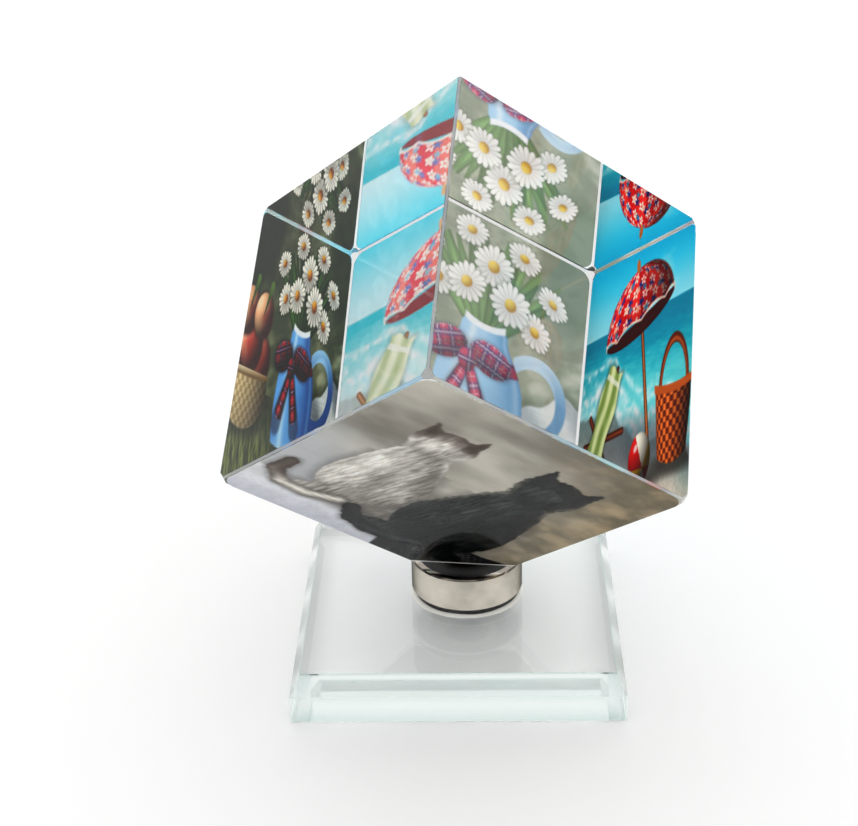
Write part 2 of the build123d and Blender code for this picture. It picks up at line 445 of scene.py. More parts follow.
def film_grid():
    """How far each point of the film lies along and up from the tip corner, in millimetres. Each
    row is as high as the last and runs between the film's sides, which draw in by the rounding's
    r - sqrt(r * r - (r - h) ** 2) near a rounded corner and keep off the cut tip."""
    low, high, r = print_margin, cube_edge - print_margin, print_corner_radius
    up = np.linspace(low + 1e-3, high - 1e-3, film_rows)
    into = np.minimum(up - low, high - up)
    draw_in = np.where(into < r, r - np.sqrt(np.maximum(r * r - (r - into) ** 2, 0)), 0)
    off_tip = tip_cut + print_tip_gap * 2 ** 0.5 - up
    start = np.where(up < tip_cut, np.maximum(off_tip, low), low + draw_in)[:, None]
    stop = (high - draw_in)[:, None]
    along = start + (stop - start) * np.linspace(0, 1, film_rows)
    return along, np.repeat(up[:, None], film_rows, axis=1)


def film_mesh(name, along_way, up_way, away, picture):
    """A closed thin sheet: the film's grid is laid a little inside the glass face and again
    outside it, and quads join the two round the rim. The picture gives each point its paint,
    turned from a screen's tones to light: ((tone + 0.055) / 1.055) ** 2.4, darks tone / 12.92."""
    along, up = film_grid()
    face = sharp_tip + along[..., None] * along_way + up[..., None] * up_way
    sheets = np.stack([face - away * film_outside, face + away * film_inside]) / 1000
    n = film_rows
    index = np.arange(n * n).reshape(n, n)
    quads = np.stack([index[:-1, :-1], index[:-1, 1:], index[1:, 1:], index[1:, :-1]], -1).reshape(-1, 4)
    rim = np.concatenate([index[0, :], index[1:, -1], index[-1, -2::-1], index[-2:0:-1, 0]])
    after = np.roll(rim, -1)
    rim_quads = np.stack([rim, rim + n * n, after + n * n, after], -1)
    faces = np.concatenate([quads, rim_quads, quads[:, ::-1] + n * n])
    if np.dot(np.cross(along_way, up_way), away) > 0:
        faces = faces[:, ::-1]
    mesh = bpy.data.meshes.new(name)
    mesh.from_pydata(sheets.reshape(-1, 3), [], faces.tolist())
    border = mask((along + up - tip_cut) / 2 ** 0.5 - print_tip_gap - tip_border, 0.2)
    tone = np.clip(over(picture(along, up), bare_film, border), 0, 1)
    paint = np.where(tone < 0.04045, tone / 12.92, ((tone + 0.055) / 1.055) ** 2.4)
    paint = np.concatenate([paint, np.ones((n, n, 1))], -1).reshape(-1, 4)
    layer = mesh.color_attributes.new("paint", "FLOAT_COLOR", "POINT")
    layer.data.foreach_set("color", np.concatenate([paint, paint]).astype(np.float32).ravel())
    sides = np.zeros(len(faces), np.int32)
    sides[-len(quads):] = 1
    mesh.polygons.foreach_set("material_index", sides)
    return mesh


def printed_ink_group():
    """Printed ink: the paint of the film's points, with the fine speckle of a printer's dots,
    which is noise that lightens and darkens it by the grain's share."""
    tree, given, out = new_group(
        "printed_ink", {"Grain": 0.12, "Gloss": 0.2}, Color="Color", Roughness="Float", Normal="Vector",
    )
    paint = add(tree, "ShaderNodeAttribute", attribute_name="paint").outputs["Color"]
    place = object_place(tree)
    dots = speckle(tree, place, 5200.0, Detail=1.0)
    even = reckon(tree, "SUBTRACT", dots, 0.5)
    change = reckon(tree, "MULTIPLY_ADD", even, given["Grain"], 1.0)
    colour = add(tree, "ShaderNodeVectorMath", {0: paint, "Scale": change}, operation="SCALE")
    feed(tree, out, {
        "Color": colour.outputs[0],
        "Roughness": reckon(tree, "MULTIPLY_ADD", dots, 0.08, given["Gloss"]),
        "Normal": relief(tree, speckle(tree, place, 120.0, Detail=1.0), 0.06, 0.0005),
    })
    return tree


printed_ink = printed_ink_group()

print_outside, tree, shader = new_material("print_outside")
ink = use_group(tree, printed_ink, {"Grain": 0.10, "Gloss": 0.04})
feed(tree, shader.inputs, {
    "Base Color": ink["Color"],
    "Roughness": ink["Roughness"],
    "Normal": ink["Normal"],
    "IOR": 1.5,
    "Specular IOR Level": 0.1,
})
# Light that comes through the film from behind takes a lighter copy of the paint, its tones to the power
# 0.55: partly the single pass through the ink, and partly painted light, which makes the print look more
# brightly lit from behind than the light there is.
thin = add(tree, "ShaderNodeGamma", {"Color": ink["Color"], "Gamma": 0.55})
lit_from_behind = add(tree, "ShaderNodeBsdfTranslucent", {"Color": thin.outputs[0]})
inside = add(tree, "ShaderNodeNewGeometry").outputs["Backfacing"]
layer_shaders(tree, inside, shader, lit_from_behind)

print_inside, tree, shader = new_material("print_inside")
tree.nodes.remove(shader)
ink = use_group(tree, printed_ink, {"Grain": 0.10})
deep = add(tree, "ShaderNodeGamma", {"Color": ink["Color"], "Gamma": 1.75})
dull = add(tree, "ShaderNodeBsdfDiffuse", {"Color": deep.outputs[0]})
clear = add(tree, "ShaderNodeBsdfTransparent")
steep = add(tree, "ShaderNodeFresnel", {"IOR": 1 / crystal_ior})
layer_shaders(tree, steep.outputs[0], clear, dull)


def noise(x, y, cell, seed):
    """A soft random field from -1 to 1: seeded heights at the corners of squares of the cell's
    size, joined across each square by the smooth step s * s * (3 - 2 * s)."""
    cells = 256
    heights = np.random.default_rng(seed).uniform(-1, 1, (cells, cells))
    x, y = x / cell + 2 * cells, y / cell + 2 * cells
    column, row = np.floor(x).astype(int), np.floor(y).astype(int)
    s, t = x - column, y - row
    s, t = s * s * (3 - 2 * s), t * t * (3 - 2 * t)
    left, right, low, high = column % cells, (column + 1) % cells, row % cells, (row + 1) % cells
    bottom = heights[low, left] * (1 - s) + heights[low, right] * s
    top = heights[high, left] * (1 - s) + heights[high, right] * s
    return bottom * (1 - t) + top * t


def clouds(x, y, cell, seed):
    """Four layers of noise, each with half the cell and half the strength of the one before."""
    return sum(noise(x, y, cell / 2 ** k, seed + k) / 2 ** k for k in range(4)) / 1.6


def ramp(value, low, high):
    """0 up to low, 1 from high on, and a smooth step between."""
    share = np.clip((value - low) / (high - low), 0, 1)
    return share * share * (3 - 2 * share)


def mask(gap, blur=0.3):
    """1 inside an outline and 0 outside it, over the blur's width. The gap is how far out a
    point is."""
    return ramp(-gap, -blur / 2, blur / 2)


def bell(value, width):
    """1 at a value of 0, falling off both ways as exp(-(value / width) ** 2)."""
    return np.exp(-(value / width) ** 2)


def over(picture, colour, share):
    """Lays a colour over the picture, as much as share says at each point."""
    share = np.asarray(share)[..., None]
    return picture * (1 - share) + np.asarray(colour) * share


def between(dark, light, share):
    """The colours between a dark and a light one, at a share from 0 to 1."""
    return np.asarray(dark) + (np.asarray(light) - np.asarray(dark)) * np.asarray(share)[..., None]


def turned(x, y, centre, degrees):
    """A point seen from a centre, along an axis turned by an angle."""
    a = radians(degrees)
    x, y = x - centre[0], y - centre[1]
    return x * cos(a) + y * sin(a), y * cos(a) - x * sin(a)


def oval(x, y, centre, across, upward, degrees=0.0):
    """How far out of an oval a point is, and where it lies in shares of the oval's half sizes."""
    u, v = turned(x, y, centre, degrees)
    u, v = u / across, v / upward
    return (np.hypot(u, v) - 1) * min(across, upward), u, v


def bar(x, y, start, stop, first, last):
    """How far out of a bar with round ends a point is, its half width going from first to last,
    and the share of the way along it."""
    ax, ay = stop[0] - start[0], stop[1] - start[1]
    share = np.clip(((x - start[0]) * ax + (y - start[1]) * ay) / (ax * ax + ay * ay), 0, 1)
    gap = np.hypot(x - start[0] - ax * share, y - start[1] - ay * share)
    return gap - (first + (last - first) * share), share


def melt(first, second, width):
    """The nearer of two outlines, less width * share * (1 - share) where they are about equal, which
    rounds off their meeting over the width."""
    share = np.clip(0.5 + 0.5 * (second - first) / width, 0, 1)
    return second * (1 - share) + first * share - width * share * (1 - share)


def ball_light(u, v, x_light=-0.5, y_light=0.62, z_light=0.6):
    """The light on a ball at a place in shares of its radius: its normal times the light's way."""
    depth = np.sqrt(np.clip(1 - u * u - v * v, 0, 1))
    return np.clip(u * x_light + v * y_light + depth * z_light, 0, 1)


def daisy(picture, x, y, centre, radius, tilt, turn):
    """A daisy seen at a tilt: 17 rays round a middle, their reach |cos(17 / 2 * angle)|."""
    u, v = turned(x, y, centre, turn)
    v = v / tilt
    r, angle = np.hypot(u, v), np.arctan2(v, u)
    ray = np.abs(np.cos(angle * 8.5 + 0.4 * np.sin(3 * angle)))
    reach = radius * (0.72 + 0.28 * ray ** 0.6 + 0.05 * np.sin(5 * angle + centre[0]))
    shade = 0.74 + 0.2 * ray + 0.12 * ramp(r, 0.2 * radius, radius) - 0.1 * (v < 0)
    picture = over(picture, (0.20, 0.23, 0.16), 0.45 * mask(r - reach - 0.5, 1.2))
    picture = over(picture, between((0, 0, 0), (0.99, 0.98, 0.94), np.clip(shade, 0, 1)), mask(r - reach))
    gap, u, v = oval(x, y, centre, 0.3 * radius, 0.3 * radius * tilt, turn)
    return over(picture, between((0.62, 0.38, 0.05), (0.98, 0.80, 0.22), ball_light(u, v)), mask(gap))


def check_cloth(u, v, size):
    """Red cloth with broad navy bars both ways, darker where they cross, and fine pale lines."""
    cloth = np.zeros(u.shape + (3,)) + np.array([0.70, 0.12, 0.22])
    for share in ((u / size) % 1, (v / size) % 1):
        cloth = over(cloth, (0.13, 0.14, 0.34), 0.62 * (np.abs(share - 0.5) < 0.21))
        cloth = over(cloth, (0.95, 0.80, 0.85), 0.60 * (np.abs(share - 0.5) < 0.04))
        cloth = over(cloth, (0.92, 0.72, 0.78), 0.40 * (np.abs(share - 0.97) < 0.03))
    return cloth


def meadow(x, y):
    """A blue enamel jug of daisies, with a checked bow, stands on a linen cloth on a grassy
    slope, beside a straw bowl of peaches."""
    scale, jug_x, bowl_x = 1.16, 6, -18.5
    x, y = x / scale + 1.5, y / scale
    hill = clouds(x + 0.6 * y, y - 0.5 * x, 9, 11) + 0.5 * clouds(x * 0.5 + y, y * 2 - x, 4, 21)
    picture = between((0.38, 0.42, 0.33), (0.66, 0.68, 0.55), ramp(hill, -0.9, 0.9))
    picture = over(picture, (0.80, 0.80, 0.71), 0.7 * ramp(hill + 0.03 * x, 0.45, 1.2))
    bush = clouds(x, y, 6, 41) * 4 + np.hypot((x - 24) / 1.1, y - 24) - 11
    picture = over(picture, (0.25, 0.32, 0.22), 0.8 * mask(bush, 7))
    bush = clouds(x, y, 7, 45) * 5 + np.hypot((x + 26) / 1.2, y - 22) - 14
    picture = over(picture, (0.21, 0.26, 0.19), 0.8 * mask(bush, 9))
    front = ramp(0.2 * x - y, 2, 22)
    blades = noise(x * 3.2 + y * 0.9, y * 0.45, 1.5, 31) + 0.6 * noise(x * 4 - y, y * 0.6, 1.2, 32)
    grass = between((0.27, 0.33, 0.17), (0.66, 0.69, 0.43), ramp(blades, -0.8, 0.9))
    picture = over(picture, grass, 0.9 * front)
    picture = over(picture, (0.74, 0.75, 0.53), 0.5 * front * ramp(blades, 0.7, 1.1))

    edge = y + 10.5 + 0.20 * (x - 10) - 1.2 * np.sin(x * 0.30) - 0.7 * np.sin(x * 0.83 + 1)
    far = edge - 9 + 0.045 * (x - 26) ** 2 * (x < 26)
    sheet = np.maximum(far - 3, -x - 20 + 0.4 * y)
    crease = np.sin(x * 0.42 + 0.25 * y + 1.8 * noise(x, y, 11, 50)) + 0.9 * clouds(x + y, y, 8, 51)
    linen = between((0.60, 0.63, 0.65), (0.92, 0.93, 0.92), ramp(crease, -1.5, 1.3))
    thread = noise(x * 1.4, y * 0.2, 0.5, 52) + noise(x * 0.2, y * 1.4, 0.5, 53)
    picture = over(picture, (0.12, 0.15, 0.10), 0.5 * mask(sheet - 1.2, 3))
    picture = over(picture, linen + 0.03 * thread[..., None], mask(sheet, 0.5))

    gap, u, v = oval(x, y, (bowl_x, -9.5), 10.5, 5.6)
    picture = over(picture, (0.14, 0.16, 0.13), 0.55 * mask(gap - 1.5, 4) * (v < 0.3))
    for centre, radius, hue in (
        ((-24.0, -2.5), 4.9, 0.2), ((-13.2, -2.4), 5.0, 0.5), ((-18.6, -0.2), 5.6, 0.9),
        ((-22.4, 6.0), 5.0, 0.35), ((-14.6, 6.0), 4.8, 0.1),
    ):
        gap, u, v = oval(x, y, centre, radius, radius * 0.94, 12)
        blush = ramp(u * 0.8 - v * 0.5 + 0.5 * clouds(x, y, 3, 61) + hue - 0.5, -0.6, 0.7)
        light = ball_light(u, v)
        seam = bell(u - 0.22 - 0.25 * v * v, 0.06) * ramp(v, -0.9, 0.6)
        skin = between((0.99, 0.83, 0.68), (0.88, 0.42, 0.36), blush)
        skin = skin * (0.44 + 0.66 * light - 0.07 * seam)[..., None]
        skin = over(skin, (1.0, 0.95, 0.88), 0.55 * ramp(light, 0.86, 1.0))
        picture = over(picture, (0.30, 0.14, 0.10), 0.5 * mask(gap - 0.4, 1.2))
        picture = over(picture, skin, mask(gap))
        gap, share = bar(x, y, centre, (centre[0] + 2.5, centre[1] + radius + 1.5), 0.1, 0.9)
        leaf = mask(gap) * (centre[1] > 3)
        picture = over(picture, between((0.20, 0.34, 0.14), (0.52, 0.64, 0.32), share), leaf)
    gap, u, v = oval(x, y, (bowl_x, -8.2), 10.8, 7.4)
    weave = np.sin(u * 26) * np.sign(np.sin(v * 22)) * 0.5 + 0.5
    straw = between((0.72, 0.62, 0.44), (0.97, 0.92, 0.78), weave * 0.6 + 0.3)
    straw = straw * (0.45 + 0.6 * ball_light(u * 0.9, v * 0.4, -0.5, 0.3, 0.8))[..., None]
    picture = over(picture, straw, mask(np.maximum(gap, v * 7.4 - 3.2)))
    gap, u, v = oval(x, y, (bowl_x, -5.0), 10.9, 1.1)
    rim = between((0.62, 0.52, 0.36), (0.99, 0.96, 0.86), ball_light(u * 0.8, v))
    picture = over(picture, rim, mask(gap) * (y < -4.6))

    for number in range(22):
        a = -1.15 + 2.3 * number / 21
        swing = 2.2 * sin(number * 2.4)
        tip = (jug_x + 15.5 * sin(a) + swing, 12.5 + 9.5 * cos(a) + swing * 0.6)
        gap, share = bar(x, y, (jug_x + 3 * sin(a), 5.5), tip, 1.1, 0.35)
        gap = gap - 0.5 * np.sin(share * 3.1)
        green = np.array([0.24, 0.36, 0.17]) * (0.75 + 0.25 * (number % 3))
        picture = over(picture, green, 0.92 * mask(gap, 0.4))
        picture = over(picture, green * 1.5, 0.6 * mask(gap + 0.6, 0.5))

    height = (y + 16.5) / 22.5
    half = 9.3 * np.sqrt(np.clip(1 - ((height - 0.36) / 0.72) ** 2, 0.16, 1))
    half = half * (1 - 0.16 * ramp(height, 0.55, 0.95)) + 0.9 * ramp(height, 0.9, 1.0)
    u = (x - jug_x) / half
    jug = np.maximum(-16.5 - y + 0.8 * u * u, y - 6.0 - 0.9 * u * u)
    jug = np.maximum(jug, np.abs(x - jug_x) - half)
    picture = over(picture, (0.30, 0.34, 0.38), 0.7 * mask(oval(x, y, (12.5, -16.2), 15, 3.2, -4)[0], 5))
    gap, p, q = oval(x, y, (17.0, -3.2), 6.2, 6.8, -18)
    light = ball_light(p * 1.2, q, -0.3, 0.8, 0.5)
    handle = np.maximum(np.abs(gap) - 1.15, 12.5 - x)
    picture = over(picture, between((0.24, 0.46, 0.70), (0.74, 0.88, 0.97), light), mask(handle))
    tone = np.sqrt(np.clip(1 - u * u, 0, 1)) * 0.62 - 0.42 * u + 0.10 * clouds(x, y, 6, 71)
    blue = between((0.20, 0.42, 0.68), (0.54, 0.77, 0.94), ramp(tone, -0.15, 0.75))
    blue = over(blue, (0.84, 0.94, 0.99), 0.85 * bell(u + 0.48, 0.16))
    blue = over(blue, (0.66, 0.84, 0.94), 0.45 * bell(u - 0.86, 0.09))
    blue = over(blue, (0.86, 0.92, 0.96), 0.5 * ramp(-y, 14.2, 16.8))
    picture = over(picture, blue, mask(jug))
    rim = np.maximum(np.abs(x - jug_x) - half - 0.2, np.abs(y - 5.9 - 0.9 * u * u) - 0.55)
    picture = over(picture, (0.96, 0.97, 0.98), mask(rim))

    for centre, radius, tilt, turn in (
        ((-7.5, 17.5), 3.4, 0.75, 25), ((19.5, 16.0), 3.6, 0.7, -30), ((1.0, 22.5), 3.5, 0.8, 8),
        ((12.5, 22.0), 3.7, 0.72, -12), ((-4.5, 11.0), 3.6, 0.85, 40), ((16.2, 9.2), 3.8, 0.8, -35),
        ((6.3, 17.6), 4.3, 0.92, 0), ((1.2, 12.6), 4.0, 0.9, 15), ((10.6, 12.0), 4.3, 0.95, -10),
    ):
        picture = daisy(picture, x, y, centre, radius, tilt, turn)

    band = np.maximum(np.abs(y + 0.6 - 1.0 * u * u) - 1.25, np.abs(x - jug_x) - half - 0.15)
    light = 0.55 + 0.5 * np.sqrt(np.clip(1 - u * u, 0, 1))
    picture = over(picture, check_cloth(x, y, 3.2) * light[..., None], mask(band))
    knot = (3.2, -1.2)
    for droop in (-112, -66):
        stop = (knot[0] + 11.5 * cos(radians(droop)), knot[1] + 11.5 * sin(radians(droop)))
        gap, share = bar(x, y, knot, stop, 0.9, 2.0)
        p, q = turned(x, y, knot, droop)
        light = 0.62 + 0.5 * ramp(np.sin(q * 2.2 + share * 3), -1, 1)
        tail = np.maximum(gap, p - 10.8 + np.abs(q) * 0.5)
        picture = over(picture, (0.08, 0.12, 0.22), 0.4 * mask(gap - 0.3, 1.2))
        picture = over(picture, check_cloth(p, q, 3.0) * light[..., None], mask(tail))
    for way, slope in ((-1, 18), (1, -14)):
        gap, u, v = oval(x, y, (knot[0] + way * 4.6, knot[1] + 1.6), 4.5, 2.9, slope)
        light = 0.48 + 0.62 * ball_light(u * 0.9, v * 0.9, -0.3, 0.8, 0.5)
        light = light - 0.25 * bell(v, 0.16) * (way * u < 0.2)
        picture = over(picture, (0.08, 0.12, 0.22), 0.4 * mask(gap - 0.3, 1.2))
        picture = over(picture, check_cloth(u * 4.5, v * 2.9, 2.8) * light[..., None], mask(gap))
    gap, u, v = oval(x, y, knot, 1.9, 2.1)
    light = 0.5 + 0.6 * ball_light(u, v)
    return over(picture, check_cloth(x, y, 2.4) * light[..., None], mask(gap))


def beach(x, y):
    """A flowered parasol, a cane basket with a hoop handle, a striped ball and a towel on a low
    chair stand on pale sand, with a turquoise sea and its foam behind."""
    scale, basket_x = 1.08, 18.5
    x, y = x / scale, y / scale
    swell = clouds(x * 0.45, y * 2.2, 5, 110) + 0.5 * noise(x * 1.2, y * 6, 3, 115)
    picture = between((0.72, 0.95, 0.99), (0.05, 0.82, 0.96), ramp(y, 12, 32))
    picture = over(picture, (0.90, 0.97, 0.97), 0.5 * ramp(clouds(x * 0.7, y * 1.6, 9, 120), 0.15, 0.9))
    horizon = 13.0 + 0.03 * x
    sea = between((0.03, 0.68, 0.78), (0.55, 0.91, 0.92), ramp(horizon - y + 3 * swell, 0, 17))
    picture = over(picture, sea, ramp(horizon - y, -0.2, 0.2))
    shore = y + 1.0 + 0.30 * (x + 30) + 1.6 * np.sin(x * 0.22 + 1) + 1.2 * clouds(x, y, 6, 130)
    for offset, width, strength in ((9.5, 1.1, 0.75), (5.2, 1.8, 0.95), (0.6, 2.6, 1.0)):
        wave = shore - offset - 1.3 * noise(x, y, 4, 135)
        foam = strength * bell(wave, width) * (0.72 + 0.5 * noise(x, y, 1.1, 140))
        picture = over(picture, (0.97, 0.99, 0.99), np.clip(foam, 0, 1) * (y < horizon - 1))
    wet = between((0.64, 0.71, 0.70), (0.79, 0.82, 0.79), ramp(-shore, 0, 7))
    sand = wet + (np.array([0.93, 0.91, 0.87]) - wet) * ramp(-shore, 4, 10)[..., None]
    sand = sand + (noise(x, y, 0.5, 150) * 0.03 + clouds(x, y, 7, 155) * 0.05)[..., None]
    picture = over(picture, sand, mask(shore + 0.6 * noise(x, y, 2.5, 160), 1.2))
    picture = over(picture, (0.48, 0.50, 0.53), 0.62 * mask(oval(x, y, (2, -13.5), 24, 5.5, -4)[0], 7))

    for start, stop in (((-22, -20), (-10, 4)), ((-8, -21), (-22, -4)), ((-6, -9), (-24, -9.5))):
        gap = bar(x, y, start, stop, 0.75, 0.7)[0]
        picture = over(picture, (0.42, 0.20, 0.10), mask(gap))
        picture = over(picture, (0.80, 0.48, 0.26), 0.8 * mask(gap + 0.45, 0.4))
    u, v = turned(x, y, (-15.6, -5.4), 63)
    side = np.abs(v) - 3.8 - 0.5 * np.sin(u * 0.5)
    towel = np.maximum(np.abs(u) - 10.6 - 0.4 * np.sin(v * 1.3), side)
    crease = np.sin(v * 1.5 + 0.8 * np.sin(u * 0.35)) + 0.5 * noise(u, v * 2, 2.5, 165)
    cloth = between((0.66, 0.74, 0.46), (0.94, 0.96, 0.78), ramp(crease, -1.3, 1.2))
    cloth = over(cloth, (0.99, 0.99, 0.95), 0.8 * (np.abs(np.abs(u) - 8.2) < 0.55))
    picture = over(picture, (0.25, 0.28, 0.24), 0.4 * mask(towel - 0.5, 2.2))
    picture = over(picture, cloth, mask(towel, 0.4))

    gap = bar(x, y, (7.5, -16.5), (-1.5, 21.5), 0.75, 0.65)[0]
    picture = over(picture, between((0.36, 0.18, 0.09), (0.93, 0.66, 0.40), ramp(-gap, 0, 0.75)), mask(gap))
    reach, rise, top, tilt = 17.0, 11.0, (0.2, 12.6), 12
    u, v = turned(x, y, top, tilt)
    side = np.clip(u / (reach * np.sqrt(np.clip(1 - (v / rise) ** 2, 0.02, 1))), -1, 1)
    scallop = 1.1 * np.abs(np.sin(np.arccos(np.clip(u / reach, -1, 1)) * 4))
    dome = np.maximum((np.hypot(u / reach, v / rise) - 1) * rise, scallop - v - 0.4)
    lining = np.maximum(oval(x, y, top, reach, 3.4, tilt)[0], v)
    picture = over(picture, (0.40, 0.06, 0.08), mask(lining) * (dome > -0.2))
    panel = np.arcsin(side) / pi * 8
    red = between((0.84, 0.11, 0.16), (0.95, 0.30, 0.27), np.floor(panel) % 2)
    p, q = np.arcsin(side) * 10.5, v * 1.05
    for cell, shift, hue, size in (
        (3.3, 0.0, (0.98, 0.95, 0.92), 1.15), (3.9, 1.7, (0.16, 0.32, 0.66), 0.95),
        (4.3, 2.9, (0.99, 0.80, 0.72), 0.8), (5.1, 0.9, (0.30, 0.66, 0.78), 0.8),
    ):
        a, b = (p + shift) / cell, (q + shift * 1.3) / cell
        b = b + 0.5 * (np.floor(a) % 2)
        a, b = (a % 1 - 0.5) * cell, (b % 1 - 0.5) * cell
        bloom = np.hypot(a, b) - size * (0.78 + 0.3 * np.cos(5 * np.arctan2(b, a) + shift))
        red = over(red, hue, 0.9 * mask(bloom, 0.35))
        red = over(red, (0.85, 0.25, 0.12), 0.9 * mask(np.hypot(a, b) - 0.28 * size) * (shift == 0))
    light = 0.60 + 0.6 * ball_light(side * 0.95, v / rise * 0.8, -0.45, 0.7, 0.5)
    light = light - 0.18 * bell(panel - np.floor(panel), 0.08)
    picture = over(picture, red * light[..., None], mask(dome))
    picture = over(picture, (0.99, 0.93, 0.88), 0.85 * mask(np.abs(dome) - 0.28) * (v < 0.9))
    picture = over(picture, (0.86, 0.60, 0.36), mask(oval(x, y, (-2.6, 24.0), 0.9, 1.5, tilt)[0]))

    gap = oval(x, y, (basket_x, -4.2), 6.6, 9.5)[0]
    picture = over(picture, (0.55, 0.26, 0.10), mask(np.maximum(np.abs(gap) - 0.75, -4.5 - y)))
    picture = over(picture, (0.90, 0.58, 0.32), 0.7 * mask(np.abs(gap + 0.2) - 0.3) * (y > -4.5))
    cone = 8.6 + 0.16 * (y + 6)
    u = (x - basket_x) / cone
    basket = np.maximum(-19.0 - y + 1.6 * u * u, y + 4.4 - 0.9 * u * u)
    basket = np.maximum(basket, np.abs(x - basket_x) - cone)
    weave = np.sin(np.arcsin(np.clip(u, -1, 1)) * 15) * np.sign(np.sin(y * 2.6)) * 0.5 + 0.5
    cane = between((0.50, 0.22, 0.09), (0.95, 0.62, 0.34), weave)
    cane = cane * (0.42 + 0.70 * ball_light(u * 0.95, 0.2, -0.45, 0.3, 0.8))[..., None]
    picture = over(picture, (0.20, 0.16, 0.14), 0.5 * mask(oval(x, y, (19.5, -19), 12, 2.2)[0], 2.5))
    picture = over(picture, cane, mask(basket))
    rim = np.maximum(np.abs(x - basket_x) - cone - 0.4, np.abs(y + 4.6 - 0.9 * u * u) - 0.85)
    picture = over(picture, (0.86, 0.52, 0.27), mask(rim))

    gap, u, v = oval(x, y, (3.2, -16.0), 5.2, 5.2)
    gore = np.floor((np.arctan2(v + 0.35, u - 0.3) / pi + 1) * 3) % 3
    ball = between((0.99, 0.83, 0.16), (0.97, 0.95, 0.90), gore == 1)
    ball = over(ball, (0.88, 0.16, 0.14), gore == 2)
    ball = ball * (0.42 + 0.68 * ball_light(u, v))[..., None]
    ball = over(ball, (1.0, 1.0, 1.0), 0.85 * mask(oval(u, v, (-0.38, 0.45), 0.20, 0.13, 40)[0], 0.1))
    picture = over(picture, (0.22, 0.20, 0.20), 0.5 * mask(oval(x, y, (4.6, -21.0), 7, 1.6)[0], 2.0))
    return over(picture, ball, mask(gap))


def fur(x, y, run, seed):
    """Short hairs: noise drawn out along the run of the coat, which is an angle in degrees."""
    u, v = turned(x, y, (0, 0), run)
    hairs = noise(u * 0.35 + 0.4 * noise(x, y, 2, seed + 9), v * 2.4, 0.9, seed)
    return hairs + 0.5 * noise(u * 0.6, v * 4, 0.8, seed + 1)


def sitting_cat(picture, x, y, middle, size, lean, coat, seed, tail):
    """A sitting cat from behind: ovals for body, shoulders, head and paws and bars for the ears,
    melted into one outline, and a tail of bars along its points. The coat has a dark, a pale and
    a rim colour, and one for the tips of its ears and tail."""
    dark, pale, rim, tips = np.array(coat)
    u, v = turned(x, y, middle, lean)
    u, v = u / size, v / size
    shape = melt(oval(u, v, (0, -7.5), 9.6, 10.5)[0], oval(u, v, (0, 2.0), 6.6, 8.6)[0], 4.5)
    shape = melt(shape, oval(u, v, (0, 12.6), 5.9, 5.0)[0], 2.0)
    for way in (-1, 1):
        shape = melt(shape, bar(u, v, (way * 3.6, 14.2), (way * 5.0, 18.8), 2.2, 0.3)[0], 0.7)
        shape = melt(shape, oval(u, v, (way * 7.2, -16.6), 3.6, 1.9)[0], 1.2)
    shape = shape * size + 0.22 * noise(x, y, 0.7, seed + 5)
    light = 0.22 * ramp(-shape, 0, 5.5) + 0.50 * ramp(0.3 * v - u, -9, 8) + 0.26 * fur(x, y, 80, seed)
    light = light + 0.22 * clouds(u, v * 0.6, 5, seed + 9)
    fleece = between(dark, pale, np.clip(light, 0, 1))
    fleece = over(fleece, dark, 0.30 * bell(u + 0.3 * np.sin(v * 0.3), 1.3) * ramp(-v, -9, 4))
    fleece = over(fleece, rim, 0.75 * bell(shape + 0.35, 0.55) * ramp(v - 0.4 * u, -6, 10))
    fleece = over(fleece, dark, 0.45 * bell(v - 8.3 - 0.06 * u * u, 1.1))
    for way in (-1, 1):
        fold = bar(u, v, (way * 3.7, 14.6), (way * 4.8, 17.8), 1.1, 0.15)[0]
        fleece = over(fleece, dark * 0.8, 0.5 * mask(fold, 0.8))
    towards_ears = v + 0.5 * np.abs(u) + 0.8 * noise(x, y, 1.5, seed + 4)
    fleece = over(fleece, tips, 0.85 * ramp(towards_ears, 13.2, 18.2))
    picture = over(picture, (0.22, 0.20, 0.19), 0.35 * mask(shape - 1.0, 3.0) * (v < 4))
    picture = over(picture, fleece, mask(shape, 0.5))
    line = 99.0
    for start, stop in zip(tail[:-1], tail[1:]):
        line = melt(line, bar(x, y, start, stop, 1.55 * size, 1.45 * size)[0], 0.8)
    line = line + 0.18 * noise(x, y, 0.6, seed + 7)
    sheen = np.clip(0.7 * ramp(-line, 0, 1.5 * size) + 0.15 * fur(x, y, 0, seed + 3), 0, 1)
    picture = over(picture, (0.2, 0.18, 0.18), 0.4 * mask(line - 0.5, 1.8))
    from_end = np.hypot(x - tail[-1][0], y - tail[-1][1]) + 0.8 * noise(x, y, 1.5, seed + 6)
    hair = over(between(dark, pale, sheen), tips, 0.85 * ramp(-from_end, -10, -3))
    return over(picture, hair, mask(line, 0.4))


